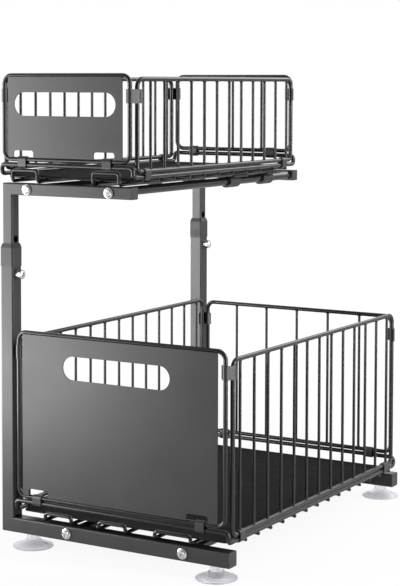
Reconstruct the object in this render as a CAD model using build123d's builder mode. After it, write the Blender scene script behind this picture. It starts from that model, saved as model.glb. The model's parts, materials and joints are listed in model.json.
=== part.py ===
from build123d import *

# Two-tier pull-out cabinet basket: a square-tube frame that stands on four suction cups,
# two wire baskets that slide out on round rails, and an upper tier that moves up and down
# on telescopic posts.  The walls of each basket are wire panels that hinge on sheet straps.
#
# Millimetres, +Z up, the front towards -Y and the posts on the -X side.
# The origin is the middle of the overall width and depth, at the rims of the suction cups.
import os
from math import asin, atan2, cos, pi, sin

os.makedirs("parts", exist_ok=True)

# ---------------------------------------------------------------- driving dimensions
# Frame
tube = 15.0  # outer square tube of the base and of the fixed posts
tube_wall = 1.2
tube_edge = 1.4  # rounded long edges of the tubes
slide_tube = 12.0  # square tube of the arms and of the sliding posts
slide_wall = 1.0
frame_spacing = 371.0  # front frame to rear frame, centre to centre
lower_overhang = 4.0  # the lower basket is this much deeper than the frame spacing
upper_setback = 40.0  # the upper basket is this much shorter than the frame spacing
base_length = 267.0  # base tube, from the back of the post to the end of its cap
post_top = 288.0  # top of the fixed post above the underside of the base tube
arm_top = 355.5  # top of the upper arms above the same level
front_arm = 157.0  # upper arms, from the same end as base_length
rear_arm = 137.4
slide_bottom = 150.0  # lower end of the sliding post
cap_flange = 1.5
cap_plug = 8.0
arm_cap_plug = 2.5

# Height adjustment
lock_height = 263.0
lock_pitch = 35.5
lock_hole = 7.0
lock_steps = (-2, -1, 0, 1)  # holes of the sliding post, counted from the locked one
lock_screw = 4.8
lock_washer = 8.4
lock_washer_height = 2.8
lock_head = 9.6
lock_head_height = 6.9
lock_dome = 2.9

# Collar on top of the fixed post
collar_side = 16.2
collar_skirt = 17.0
collar_rim = 2.0
collar_taper = 4.0
collar_top_side = 13.6

# Suction cups
cup_insets = (34.0, 18.0)  # from the left and the right end of the base tube
cup_rim = 41.0
cup_drop = 13.0  # underside of the base tube above the rim
cup_neck = 12.7
cup_neck_length = 5.5
cup_shoulder = 19.0
cup_shoulder_height = 5.6
cup_stud = 6.0
cup_stud_head = 9.0
cup_stud_head_height = 2.6
cup_lip = 1.2
cup_hollow = 2.6

# Rails and their screws
rail = 9.0
lower_rails = (80.6, 215.6)  # from the end of the base tube
upper_rails = (32.0, 130.5)
rail_screw = 4.8
rail_screw_head = 10.6
rail_screw_bite = 11.0
screw_head_height = 3.2

# Wires
frame_wire = 4.6  # base ring and panel frames
upright_wire = 3.0
loop_wire = 3.8  # lengthwise floor wires with the loops
cross_wire = 3.0  # floor wires from side to side
floor_wire_end = 6.0  # lengthwise wires end this far before the rear of the ring
wire_gap = 0.7  # between a base wire and the panel wire that hinges on it
floor_clearance = 0.5  # lengthwise wires above the frame tubes
ring_drop = 9.4  # the ring is this much higher at the front and the rear
ring_bend = 4.1
panel_bend = 8.5
panel_foot_bend = 5.0
loop_bend = 3.2
loop_setback = 2.2
corner_gap = 7.2  # panel corners: side panel behind the front panel
corner_inset = 3.6  # panel corners: front panel inside the side panel

# Sheet, straps and clips
plate_thickness = 1.0
plate_side_gap = 6.6  # from the upright of the frame to the edge of the plate
plate_foot = 2.0  # plate above the axis of its lower wire
plate_head = 1.2  # plate below the axis of its upper wire
slot_height = 23.4
notch_width = 24.0
notch_height = 7.0
notch_offset = 2.5  # from the middle of the strap towards the middle of the plate
notch_bend = 2.5
strap_width = 10.0
strap_sheet = 0.9
pin_clearance = 0.08
upright_clearance = 0.5
side_strap_insets = (22.7, 26.0)  # from the front and the rear of the ring
clip_height = 13.5
clip_sheet = 0.7
clip_clearance = 0.35
clip_lip = 3.0
clip_tail = 5.8
clip_below_top = 20.0

# Floor mat and slide shoes
mat_thickness = 1.2
mat_gap = 1.4
mat_bend = 6.0
shoe_length = 30.0
shoe_strap = 22.0
shoe_wall = 2.2
shoe_clearance = 0.2

# Baskets: x and y are counted from the left end and the front face of the base frame
LOWER = dict(
    name="lower",
    sides=(18.9, 266.3),
    depth=frame_spacing + lower_overhang,
    front_height=166.5,
    rear_height=154.9,
    side_height=167.2,
    side_uprights=13,
    side_upright_insets=(14.0, 14.0),
    rear_uprights=5,
    cross_wires=14,
    cross_wire_insets=(33.0, 12.0),
    loops=((53.0, 84.5), (118.0, 149.0), (183.0, 223.5)),
    loop_rise=6.8,
    front_straps=(46.0, 236.0),
    slot_centre=(141.0, tube + 160.0),
    slot_length=124.0,
    shoe_insets=(136.0, 53.0),
    rails=lower_rails,
    level=tube,
    rail_level=tube / 2,
)
UPPER = dict(
    name="upper",
    sides=(2.5, 159.7),
    depth=frame_spacing - upper_setback,
    front_height=83.6,
    rear_height=83.6,
    side_height=89.7,
    side_uprights=12,
    side_upright_insets=(24.0, 10.0),
    rear_uprights=3,
    cross_wires=11,
    cross_wire_insets=(15.8, 18.9),
    loops=((14.0, 44.7), (111.7, 142.2)),
    loop_rise=10.7,
    front_straps=(29.0, 130.6),
    slot_centre=(81.0, arm_top + 79.5),
    slot_length=121.0,
    shoe_insets=(91.0, 16.0),
    rails=upper_rails,
    level=arm_top,
    rail_level=arm_top - slide_tube / 2,
)

# ---------------------------------------------------------------- shared frame of the model
cup_positions = (cup_insets[0], base_length - cup_insets[1])
strap_reach = frame_wire / 2 + pin_clearance + strap_sheet
leftmost = min(0.0, UPPER["sides"][0] - strap_reach)
rightmost = max(LOWER["sides"][1] + strap_reach, base_length)
left_end = -(rightmost - leftmost) / 2 - leftmost
front_centre = -frame_spacing / 2
front_face = front_centre - tube / 2


def at_x(distance):
    """Row X of a distance from the left end of the base frame."""
    return left_end + distance


def at_y(distance):
    """Row Y of a distance from the front face of the base frame."""
    return front_face + distance


def at_z(height):
    """Row Z of a height above the underside of the base tubes."""
    return cup_drop + height


def save(builder, name):
    """Label a finished sub-part and write its STEP file."""
    builder.part.label = name
    export_step(builder.part, f"parts/{name}.step")


def box_between(low, high, mode=Mode.ADD):
    """A box given by two opposite corners."""
    size = [b - a for a, b in zip(low, high)]
    middle = tuple((a + b) / 2 for a, b in zip(low, high))
    with Locations(middle):
        Box(*size, mode=mode)


def rod(start, end, diameter, mode=Mode.ADD):
    """A straight round bar between two points."""
    along = Vector(*end) - Vector(*start)
    with BuildSketch(Plane(origin=start, z_dir=along)) as section:
        Circle(diameter / 2)
    extrude(section.sketch, amount=along.length, mode=mode)


def bent_wire(points, diameter, bends, close=False):
    """A round wire along a polyline with rounded corners."""
    with BuildLine() as path:
        FilletPolyline(*points, radius=bends, close=close)
    wire = path.line
    with BuildSketch(Plane(origin=wire @ 0, z_dir=wire % 0)) as section:
        Circle(diameter / 2)
    sweep(section.sketch, path=wire)


def cap_point(radius, rise):
    """Half-way point of the arc of a spherical cap: distance from its axis, and height."""
    ball = (radius**2 + rise**2) / (2 * rise)
    half = asin(radius / ball) / 2
    return ball * sin(half), ball * cos(half) - ball + rise


# ---------------------------------------------------------------- base frames
def base_frame(name, centre):
    """Base tube and fixed post, welded at the corner and open at both free ends."""
    tube_end = base_length - cap_flange
    outline = [(0, 0), (tube_end, 0), (tube_end, tube), (tube, tube), (tube, post_top), (0, post_top)]
    inner = tube - tube_wall
    bore = [
        (tube_wall, tube_wall),
        (tube_end, tube_wall),
        (tube_end, inner),
        (inner, inner),
        (inner, post_top),
        (tube_wall, post_top),
    ]
    plane = Plane(origin=(at_x(0), centre, at_z(0)), x_dir=(1, 0, 0), z_dir=(0, -1, 0))
    with BuildPart() as frame:
        with BuildSketch(plane):
            Polygon(*outline, align=None)
        extrude(amount=tube / 2, both=True)
        fillet(frame.edges().filter_by(lambda edge: edge.length > 2 * tube), tube_edge)
        with BuildSketch(plane):
            Polygon(*bore, align=None)
        extrude(amount=tube / 2 - tube_wall, both=True, mode=Mode.SUBTRACT)
        for x in cup_positions:
            rod((at_x(x), centre, at_z(-1)), (at_x(x), centre, at_z(tube / 2)), cup_stud, Mode.SUBTRACT)
        for x in lower_rails:
            hole_ends = [(at_x(x), centre + side * tube, at_z(tube / 2)) for side in (-1, 1)]
            rod(*hole_ends, rail_screw, Mode.SUBTRACT)
        rod(
            (at_x(tube / 2), centre, at_z(lock_height)),
            (at_x(tube + 1), centre, at_z(lock_height)),
            lock_screw,
            Mode.SUBTRACT,
        )
    save(frame, name)


def upper_frame(name, centre, arm):
    """Sliding post and arm in the smaller tube, with the row of height holes."""
    low = (tube - slide_tube) / 2
    arm_end = arm - cap_flange
    outline = [
        (low, slide_bottom),
        (low + slide_tube, slide_bottom),
        (low + slide_tube, arm_top - slide_tube),
        (arm_end, arm_top - slide_tube),
        (arm_end, arm_top),
        (low, arm_top),
    ]
    bore = [
        (low + slide_wall, slide_bottom),
        (low + slide_tube - slide_wall, slide_bottom),
        (low + slide_tube - slide_wall, arm_top - slide_tube + slide_wall),
        (arm_end, arm_top - slide_tube + slide_wall),
        (arm_end, arm_top - slide_wall),
        (low + slide_wall, arm_top - slide_wall),
    ]
    plane = Plane(origin=(at_x(0), centre, at_z(0)), x_dir=(1, 0, 0), z_dir=(0, -1, 0))
    with BuildPart() as frame:
        with BuildSketch(plane):
            Polygon(*outline, align=None)
        extrude(amount=slide_tube / 2, both=True)
        fillet(frame.edges().filter_by(lambda edge: edge.length > 2 * slide_tube), tube_edge)
        with BuildSketch(plane):
            Polygon(*bore, align=None)
        extrude(amount=slide_tube / 2 - slide_wall, both=True, mode=Mode.SUBTRACT)
        for step in lock_steps:
            level = at_z(lock_height + step * lock_pitch)
            rod((at_x(tube / 2), centre, level), (at_x(tube), centre, level), lock_hole, Mode.SUBTRACT)
        for x in upper_rails:
            level = at_z(arm_top - slide_tube / 2)
            hole_ends = [(at_x(x), centre + side * tube, level) for side in (-1, 1)]
            rod(*hole_ends, rail_screw, Mode.SUBTRACT)
    save(frame, name)


def end_cap(name, centre, end, side, wall, height, depth):
    """Push-in cap of a square tube: a flange as wide as the tube and a plug inside it."""
    plug = side - 2 * wall
    with BuildPart() as cap:
        with BuildSketch(Plane(origin=(at_x(end - cap_flange), centre, at_z(height)), z_dir=(1, 0, 0))):
            RectangleRounded(side, side, tube_edge)
        extrude(amount=cap_flange)
        fillet(cap.faces().sort_by(Axis.X)[-1].edges(), cap_flange / 2)
        with BuildSketch(Plane(origin=(at_x(end - cap_flange), centre, at_z(height)), z_dir=(-1, 0, 0))):
            Rectangle(plug, plug)
        extrude(amount=depth)
    save(cap, name)


def post_collar(name, centre):
    """Moulded collar that seats on the fixed post and guides the sliding one."""
    middle = (at_x(tube / 2), centre)
    skirt_bottom = post_top - collar_skirt
    with BuildPart() as collar:
        with BuildSketch(Plane(origin=(*middle, at_z(skirt_bottom)))):
            RectangleRounded(collar_side, collar_side, tube_edge + (collar_side - tube) / 2)
        extrude(amount=collar_skirt + collar_rim)
        with BuildSketch(Plane(origin=(*middle, at_z(post_top + collar_rim)))):
            RectangleRounded(collar_side, collar_side, tube_edge + (collar_side - tube) / 2)
        with BuildSketch(Plane(origin=(*middle, at_z(post_top + collar_rim + collar_taper)))):
            RectangleRounded(collar_top_side, collar_top_side, tube_edge)
        loft()
        with BuildSketch(Plane(origin=(*middle, at_z(skirt_bottom)))):
            RectangleRounded(tube, tube, tube_edge)
        extrude(amount=collar_skirt, mode=Mode.SUBTRACT)
        with BuildSketch(Plane(origin=(*middle, at_z(skirt_bottom)))):
            Rectangle(slide_tube + 2 * pin_clearance, slide_tube + 2 * pin_clearance)
        extrude(amount=collar_skirt + collar_rim + collar_taper, mode=Mode.SUBTRACT)
    save(collar, name)


def lock_screws():
    """One screw through each fixed post: washer, domed head and a shank up to the sliding post."""
    reach = tube / 2 - slide_tube / 2 - pin_clearance
    tip = lock_washer_height + lock_head_height
    rim = tip - lock_dome
    across, rise = cap_point(lock_head / 2, lock_dome)
    with BuildPart() as screws:
        for centre in (front_centre, -front_centre):
            seat = Plane(origin=(at_x(tube), centre, at_z(lock_height)), x_dir=(1, 0, 0), z_dir=(0, -1, 0))
            with BuildSketch(seat):
                with BuildLine():
                    Polyline(
                        (tip, 0),
                        (-reach, 0),
                        (-reach, lock_screw / 2),
                        (0, lock_screw / 2),
                        (0, lock_washer / 2),
                        (lock_washer_height, lock_washer / 2),
                        (lock_washer_height, lock_head / 2),
                        (rim, lock_head / 2),
                    )
                    ThreePointArc((rim, lock_head / 2), (rim + rise, across), (tip, 0))
                make_face()
            revolve(axis=Axis((at_x(0), centre, at_z(lock_height)), (1, 0, 0)))
    save(screws, "height_lock_screws")


def suction_cup(name, x, y):
    """Soft cup: a thin dome under a neck, with a stud and button that hold it in the tube."""
    hollow_radius = cup_rim / 2 - cup_lip
    hollow_across, hollow_rise = cap_point(hollow_radius, cup_hollow)
    button_top = cup_drop + tube_wall + cup_stud_head_height
    neck_foot = (cup_neck / 2, cup_drop - cup_neck_length)
    shoulder = (cup_shoulder / 2, cup_shoulder_height)
    brim = (cup_rim / 2, cup_lip)
    with BuildPart() as cup:
        with BuildSketch(Plane(origin=(at_x(x), y, 0), x_dir=(1, 0, 0), z_dir=(0, -1, 0))):
            with BuildLine():
                Polyline(
                    (0, cup_hollow),
                    (0, button_top),
                    (cup_stud_head / 2 - 1.4, button_top),
                    (cup_stud_head / 2, cup_drop + tube_wall),
                    (cup_stud / 2, cup_drop + tube_wall),
                    (cup_stud / 2, cup_drop),
                    (cup_neck / 2, cup_drop),
                    neck_foot,
                )
                SagittaArc(neck_foot, shoulder, -0.14 * (shoulder[0] - neck_foot[0]))
                SagittaArc(shoulder, brim, 0.06 * (brim[0] - shoulder[0]))
                Polyline(brim, (cup_rim / 2, 0), (hollow_radius, 0))
                ThreePointArc((hollow_radius, 0), (hollow_across, hollow_rise), (0, cup_hollow))
            make_face()
        revolve(axis=Axis((at_x(x), y, 0), (0, 0, 1)))
    save(cup, name)


def rail_bar(name, x, level, frame_side):
    """Round rail between the front and the rear frame, bored at both ends for its screws."""
    half = frame_spacing / 2 - frame_side / 2
    with BuildPart() as bar:
        rod((at_x(x), -half, at_z(level)), (at_x(x), half, at_z(level)), rail)
        for end in (-1, 1):
            mouth = (at_x(x), end * (half + 1), at_z(level))
            bottom = (at_x(x), end * (half - rail_screw_bite - 1), at_z(level))
            rod(mouth, bottom, rail_screw, Mode.SUBTRACT)
    save(bar, name)


def rail_screws(name, rails, level, frame_side):
    """Pan-head screws through the frames into the ends of the rails."""
    outside = frame_spacing / 2 + frame_side / 2
    tip = frame_spacing / 2 - frame_side / 2 - rail_screw_bite
    with BuildPart() as screws:
        for x in rails:
            for end in (-1, 1):
                rod((at_x(x), end * tip, at_z(level)), (at_x(x), end * outside, at_z(level)), rail_screw)
                seat = (at_x(x), end * outside, at_z(level))
                with BuildSketch(Plane(origin=seat, z_dir=(0, end, 0))):
                    Circle(rail_screw_head / 2)
                extrude(amount=screw_head_height)
                rims = screws.edges().filter_by(GeomType.CIRCLE)
                outer = rims.group_by(Axis.Y)[-1 if end > 0 else 0]
                fillet(outer.filter_by(lambda edge: abs(edge.center().X - seat[0]) < rail), screw_head_height * 0.6)
    save(screws, name)


# ---------------------------------------------------------------- baskets
def levels(basket):
    """Heights of the wire layers of a basket, above the underside of the base tubes."""
    floor_low = basket["level"] + floor_clearance + loop_wire / 2
    floor_high = floor_low + loop_wire / 2 + cross_wire / 2
    floor_top = floor_high + cross_wire / 2
    side_base = floor_top + frame_wire / 2
    hinge_pitch = frame_wire + wire_gap
    return dict(
        floor_low=floor_low,
        floor_high=floor_high,
        floor_top=floor_top,
        side_base=side_base,
        side_hinge=side_base + hinge_pitch,
        end_base=side_base + ring_drop,
        end_hinge=side_base + ring_drop + hinge_pitch,
    )


def base_ring(basket):
    """Closed base wire of a basket: raised at the front and rear, low along the sides."""
    z = levels(basket)
    left, right = (at_x(x) for x in basket["sides"])
    front, rear = at_y(0), at_y(basket["depth"])
    high, low = at_z(z["end_base"]), at_z(z["side_base"])
    ring = [
        (left, front, high),
        (right, front, high),
        (right, front, low),
        (right, rear, low),
        (right, rear, high),
        (left, rear, high),
        (left, rear, low),
        (left, front, low),
    ]
    with BuildPart() as base:
        bent_wire(ring, frame_wire, ring_bend, close=True)
    save(base, f"{basket['name']}_base_ring")


def floor_wires(basket):
    """Cross wires under the base ring, on lengthwise wires that end in a loop at the front."""
    z = levels(basket)
    left, right = (at_x(x) for x in basket["sides"])
    front, rear = at_y(0), at_y(basket["depth"])
    first_inset, last_inset = basket["cross_wire_insets"]
    loop_front = front + loop_setback
    with BuildPart() as floor:
        for y in spread(front + first_inset, rear - last_inset, basket["cross_wires"]):
            ends = [(x, y, at_z(z["floor_high"])) for x in (left - frame_wire / 4, right + frame_wire / 4)]
            rod(*ends, cross_wire)
        for pair in basket["loops"]:
            x0, x1 = (at_x(x) for x in pair)
            bottom = at_z(z["floor_low"])
            top = bottom + basket["loop_rise"]
            points = [
                (x0, rear - floor_wire_end, bottom),
                (x0, loop_front, bottom),
                (x0, loop_front, top),
                (x1, loop_front, top),
                (x1, loop_front, bottom),
                (x1, rear - floor_wire_end, bottom),
            ]
            bent_wire(points, loop_wire, loop_bend)
    save(floor, f"{basket['name']}_floor_wires")


def floor_mat(basket):
    """Thin mat that lies on the cross wires inside the base ring."""
    z = levels(basket)
    width = basket["sides"][1] - basket["sides"][0] - frame_wire - 2 * mat_gap
    depth = basket["depth"] - 2 * (loop_setback + loop_wire / 2 + mat_gap)
    middle = (at_x(sum(basket["sides"]) / 2), at_y(basket["depth"] / 2), at_z(z["floor_top"]))
    with BuildPart() as mat:
        with BuildSketch(Plane(origin=middle)):
            RectangleRounded(width, depth, mat_bend)
        extrude(amount=mat_thickness)
    save(mat, f"{basket['name']}_floor_mat")


def spread(first, last, count):
    """Evenly spaced values from first to last."""
    return [first + (last - first) * i / (count - 1) for i in range(count)]


def end_panel(basket, name, y, height, uprights):
    """Front or rear panel: a bent frame wire and straight uprights in its plane."""
    z = levels(basket)
    left, right = (at_x(x) for x in basket["sides"])
    left += corner_inset
    right -= corner_inset
    bottom = at_z(z["end_hinge"])
    top = bottom + height
    with BuildPart() as panel:
        outline = [(left, y, bottom), (right, y, bottom), (right, y, top), (left, y, top)]
        bent_wire(outline, frame_wire, panel_bend, close=True)
        for x in spread(left, right, uprights + 2)[1:-1]:
            rod((x, y, bottom + frame_wire / 2), (x, y, top - frame_wire / 2), upright_wire)
    save(panel, name)


def side_upright_places(basket):
    """Y of the thin uprights of a side panel, as distances from the front face of the base."""
    first_inset, last_inset = basket["side_upright_insets"]
    first = corner_gap + first_inset
    last = basket["depth"] - corner_gap - last_inset
    return spread(first, last, basket["side_uprights"])


def side_panel(basket, name, x):
    """Side panel: frame wire with tight bends at the foot, and thin uprights."""
    z = levels(basket)
    front, rear = at_y(corner_gap), at_y(basket["depth"] - corner_gap)
    bottom = at_z(z["side_hinge"])
    top = bottom + basket["side_height"]
    with BuildPart() as panel:
        outline = [(x, front, bottom), (x, rear, bottom), (x, rear, top), (x, front, top)]
        bends = [panel_foot_bend, panel_foot_bend, panel_bend, panel_bend]
        bent_wire(outline, frame_wire, bends, close=True)
        for y in side_upright_places(basket):
            rod((x, at_y(y), bottom + frame_wire / 2), (x, at_y(y), top - frame_wire / 2), upright_wire)
    save(panel, name)


def front_plate(basket):
    """Sheet front with a finger slot and a notch over each hinge strap."""
    z = levels(basket)
    left, right = (at_x(x) for x in basket["sides"])
    left += corner_inset + plate_side_gap
    right -= corner_inset + plate_side_gap
    bottom = at_z(z["end_hinge"]) + plate_foot
    top = at_z(z["end_hinge"]) + basket["front_height"] - plate_head
    back = at_y(0) - frame_wire / 2
    slot_x, slot_z = basket["slot_centre"]
    plane = Plane(origin=(0, back, 0), x_dir=(1, 0, 0), z_dir=(0, -1, 0))
    with BuildPart() as plate:
        with BuildSketch(plane):
            with Locations(((left + right) / 2, (bottom + top) / 2)):
                RectangleRounded(right - left, top - bottom, 2.0)
            with Locations((at_x(slot_x), at_z(slot_z))):
                SlotOverall(basket["slot_length"], slot_height, mode=Mode.SUBTRACT)
            for x, inward in zip(basket["front_straps"], (1, -1)):
                with Locations((at_x(x) + inward * notch_offset, bottom)):
                    RectangleRounded(notch_width, 2 * notch_height, notch_bend, mode=Mode.SUBTRACT)
        extrude(amount=plate_thickness)
    save(plate, f"{basket['name']}_front_plate")


def strap_sketch():
    """Section of a hinge strap: a flat-sided loop round the base wire and the panel wire."""
    inside = frame_wire / 2 + pin_clearance
    outside = inside + strap_sheet
    pitch = frame_wire + wire_gap
    SlotCenterToCenter(pitch, 2 * outside, rotation=90)
    SlotCenterToCenter(pitch, 2 * inside, rotation=90, mode=Mode.SUBTRACT)


def end_straps(basket, name, y):
    """The two straps of a front or rear panel."""
    z = levels(basket)
    middle = at_z((z["end_base"] + z["end_hinge"]) / 2)
    with BuildPart() as straps:
        for x in basket["front_straps"]:
            with BuildSketch(Plane(origin=(at_x(x), y, middle), x_dir=(0, 1, 0), z_dir=(1, 0, 0))):
                strap_sketch()
            extrude(amount=strap_width / 2, both=True)
    save(straps, name)


def side_straps(basket, name, x, inward):
    """The two straps of a side panel, slotted where an upright swings through one."""
    z = levels(basket)
    middle = at_z((z["side_base"] + z["side_hinge"]) / 2)
    hinge = at_z(z["side_hinge"])
    half = upright_wire / 2 + upright_clearance
    far = x + inward * 2 * strap_reach
    near = x - inward * half
    places = (side_strap_insets[0], basket["depth"] - side_strap_insets[1])
    with BuildPart() as straps:
        for place in places:
            plane = Plane(origin=(x, at_y(place), middle), x_dir=(0, 1, 0), z_dir=(1, 0, 0))
            with BuildSketch(plane.rotated((0, 0, 90))):
                strap_sketch()
            extrude(amount=strap_width / 2, both=True)
        for upright in side_upright_places(basket):
            if min(abs(upright - place) for place in places) < strap_width / 2 + half:
                box_between(
                    (min(far, near), at_y(upright) - half, hinge - half),
                    (max(far, near), at_y(upright) + half, hinge + 2 * strap_reach),
                    Mode.SUBTRACT,
                )
    save(straps, name)


def corner_clips(basket, name, y, height, toward):
    """Sheet clips at the two upper corners of a front or rear panel.

    Each is closed round the upright of the end panel and hooks over the outer side of the
    side panel's upright, so that neither panel is stopped from folding.
    """
    z = levels(basket)
    top = at_z(z["end_hinge"]) + height - clip_below_top
    ring = frame_wire / 2 + pin_clearance / 4 + clip_sheet / 2
    hook = frame_wire / 2 + clip_clearance + clip_sheet / 2
    with BuildPart() as clips:
        for side_x, outward in zip(basket["sides"], (-1, 1)):
            post = Vector(at_x(side_x) - outward * corner_inset, y)
            side = Vector(at_x(side_x), y + toward * corner_gap)
            reach = (side - post).length
            heading = atan2(toward * (side.Y - post.Y), outward * (side.X - post.X))
            turn = heading - pi / 2 + asin((ring - hook) / reach)
            normal = Vector(outward * cos(turn), toward * sin(turn))
            start = post + normal * ring
            touch = side + normal * hook
            crest = side + Vector(outward * hook, 0)
            middle_turn = turn / 2
            halfway = side + Vector(outward * cos(middle_turn), toward * sin(middle_turn)) * hook
            with BuildSketch(Plane.XY.offset(top - clip_height / 2)):
                with BuildLine() as strap:
                    Line(start, touch)
                    ThreePointArc(touch, halfway, crest)
                    Line(crest, crest + Vector(0, toward * clip_lip))
                trace(strap.line, line_width=clip_sheet)
                with BuildLine() as tail:
                    Line(post + Vector(0, toward * ring), post + Vector(-outward * clip_tail, toward * ring))
                trace(tail.line, line_width=clip_sheet)
                with Locations(post):
                    Circle(ring + clip_sheet / 2)
                    Circle(ring - clip_sheet / 2, mode=Mode.SUBTRACT)
            extrude(amount=clip_height)
    save(clips, name)


def slide_shoes(basket, name, x, pair):
    """Two moulded shoes on one rail, each with a foot under a pair of floor wires."""
    z = levels(basket)
    foot_top = at_z(z["floor_low"]) - loop_wire / 2
    centre = at_z(basket["rail_level"])
    bore = rail + 2 * shoe_clearance
    foot_bottom = centre + bore / 2
    foot_left, foot_right = (at_x(edge) for edge in (pair[0] - loop_wire / 2, pair[1] + loop_wire / 2))
    with BuildPart() as shoes:
        for inset in basket["shoe_insets"]:
            y = at_y(basket["depth"] - inset)
            box_between(
                (foot_left, y - shoe_length / 2, foot_bottom),
                (foot_right, y + shoe_length / 2, foot_top),
            )
            with BuildSketch(Plane(origin=(at_x(x), y, centre), x_dir=(1, 0, 0), z_dir=(0, -1, 0))):
                Circle(bore / 2 + shoe_wall)
            extrude(amount=shoe_strap / 2, both=True)
            rod((at_x(x), y - shoe_length, centre), (at_x(x), y + shoe_length, centre), bore, Mode.SUBTRACT)
    save(shoes, name)


def make_basket(basket):
    """All the pieces of one basket."""
    name = basket["name"]
    left, right = (at_x(x) for x in basket["sides"])
    front, rear = at_y(0), at_y(basket["depth"])
    base_ring(basket)
    floor_wires(basket)
    floor_mat(basket)
    end_panel(basket, f"{name}_front_frame", front, basket["front_height"], 0)
    front_plate(basket)
    end_panel(basket, f"{name}_rear_panel", rear, basket["rear_height"], basket["rear_uprights"])
    side_panel(basket, f"{name}_left_panel", left)
    side_panel(basket, f"{name}_right_panel", right)
    end_straps(basket, f"{name}_front_hinge_straps", front)
    end_straps(basket, f"{name}_rear_hinge_straps", rear)
    side_straps(basket, f"{name}_left_hinge_straps", left, 1)
    side_straps(basket, f"{name}_right_hinge_straps", right, -1)
    corner_clips(basket, f"{name}_front_corner_clips", front, basket["front_height"], 1)
    corner_clips(basket, f"{name}_rear_corner_clips", rear, basket["rear_height"], -1)
    loops = basket["loops"]
    slide_shoes(basket, f"{name}_left_slide_shoes", basket["rails"][0], loops[0])
    slide_shoes(basket, f"{name}_right_slide_shoes", basket["rails"][1], loops[-1])


# ---------------------------------------------------------------- the whole object
for end, centre in (("front", front_centre), ("rear", -front_centre)):
    base_frame(f"{end}_base_frame", centre)
    end_cap(f"{end}_base_end_cap", centre, base_length, tube, tube_wall, tube / 2, cap_plug)
    post_collar(f"{end}_post_collar", centre)
    arm = front_arm if end == "front" else rear_arm
    upper_frame(f"{end}_upper_frame", centre, arm)
    arm_level = arm_top - slide_tube / 2
    end_cap(f"{end}_arm_end_cap", centre, arm, slide_tube, slide_wall, arm_level, arm_cap_plug)
    for side, x in zip(("left", "right"), cup_positions):
        suction_cup(f"suction_cup_{end}_{side}", x, centre)

lock_screws()
for tier, rails, level, frame_side in (
    ("lower", lower_rails, tube / 2, tube),
    ("upper", upper_rails, arm_top - slide_tube / 2, slide_tube),
):
    rail_screws(f"{tier}_rail_screws", rails, level, frame_side)
    for side, x in zip(("left", "right"), rails):
        rail_bar(f"{tier}_{side}_rail", x, level, frame_side)

make_basket(LOWER)
make_basket(UPPER)
print("left end of the base frame at X", round(left_end, 3), "front face at Y", round(front_face, 3))
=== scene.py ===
"""Looks of a two-tier pull-out cabinet basket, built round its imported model.

Black enamelled tubes, wires and plates, bright screws, clear suction cups and dark mats.
Each piece takes its place from the box of the CAD node that it stands for.
The file is laid out as an add-on, with one operator for each group of pieces.
"""

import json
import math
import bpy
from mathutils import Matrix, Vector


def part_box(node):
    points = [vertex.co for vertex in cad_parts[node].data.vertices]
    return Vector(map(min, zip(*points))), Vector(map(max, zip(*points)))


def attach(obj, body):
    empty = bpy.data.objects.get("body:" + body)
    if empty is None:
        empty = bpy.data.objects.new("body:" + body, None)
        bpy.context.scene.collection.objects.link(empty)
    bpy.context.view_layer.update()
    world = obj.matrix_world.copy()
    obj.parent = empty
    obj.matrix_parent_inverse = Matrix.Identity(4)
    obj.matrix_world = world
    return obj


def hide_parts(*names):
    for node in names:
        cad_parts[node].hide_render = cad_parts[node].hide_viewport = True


bl_info = {
    "name": "Pull-out cabinet basket",
    "version": (1, 0, 0),
    "blender": (4, 5, 0),
    "location": "3D View > Sidebar > Basket",
    "description": "Builds the pieces, finishes and studio of a two-tier pull-out cabinet basket",
    "category": "Object",
}

import bmesh
import bpy
from mathutils import Matrix, Vector

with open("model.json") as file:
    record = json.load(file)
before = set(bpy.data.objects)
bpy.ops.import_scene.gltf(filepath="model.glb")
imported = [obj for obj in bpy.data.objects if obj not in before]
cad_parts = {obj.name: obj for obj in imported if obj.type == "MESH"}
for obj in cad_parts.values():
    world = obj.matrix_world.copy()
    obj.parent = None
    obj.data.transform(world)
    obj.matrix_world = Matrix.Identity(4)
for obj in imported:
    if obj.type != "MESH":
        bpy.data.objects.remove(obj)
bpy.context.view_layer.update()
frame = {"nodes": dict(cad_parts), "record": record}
NODES = frame["nodes"]
MM = 0.001
# Angles between faces past which an edge is sharp, in radians.
CREASE = 0.75
PLATE_CREASE = 0.25
ENDS = ("front", "rear")
SIDES = ("left", "right")

# What the boxes of the nodes don't tell about each basket, in millimetres.
# X is counted from the left end of the base frame, heights from the underside of its tubes.
LOWER = dict(
    name="lower",
    stand="frame",
    side_uprights=13,
    side_upright_insets=(14.0, 14.0),
    rear_uprights=5,
    cross_wires=14,
    cross_wire_insets=(33.0, 12.0),
    loops=((53.0, 84.5), (118.0, 149.0), (183.0, 223.5)),
    slot_centre=(141.0, 175.0),
    slot_length=124.0,
)
UPPER = dict(
    name="upper",
    stand="upper_frame",
    side_uprights=12,
    side_upright_insets=(24.0, 10.0),
    rear_uprights=3,
    cross_wires=11,
    cross_wire_insets=(15.8, 18.9),
    loops=((14.0, 44.7), (111.7, 142.2)),
    slot_centre=(81.0, 435.0),
    slot_length=121.0,
)
BASKETS = (LOWER, UPPER)


# ------------------------------------------------------------------ settings
def length(name, description, millimetres):
    """A length that the user may change."""
    return bpy.props.FloatProperty(
        name=name,
        description=description,
        unit="LENGTH",
        min=0.0,
        precision=5,
        default=millimetres * MM,
    )


def share(name, description, default):
    """A value from 0 to 1 that the user may change."""
    return bpy.props.FloatProperty(
        name=name, description=description, subtype="FACTOR", min=0.0, max=1.0, default=default
    )


def tint(name, description, default):
    """A colour that the user may change."""
    return bpy.props.FloatVectorProperty(
        name=name,
        description=description,
        subtype="COLOR",
        size=3,
        min=0.0,
        max=1.0,
        default=default,
    )


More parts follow.
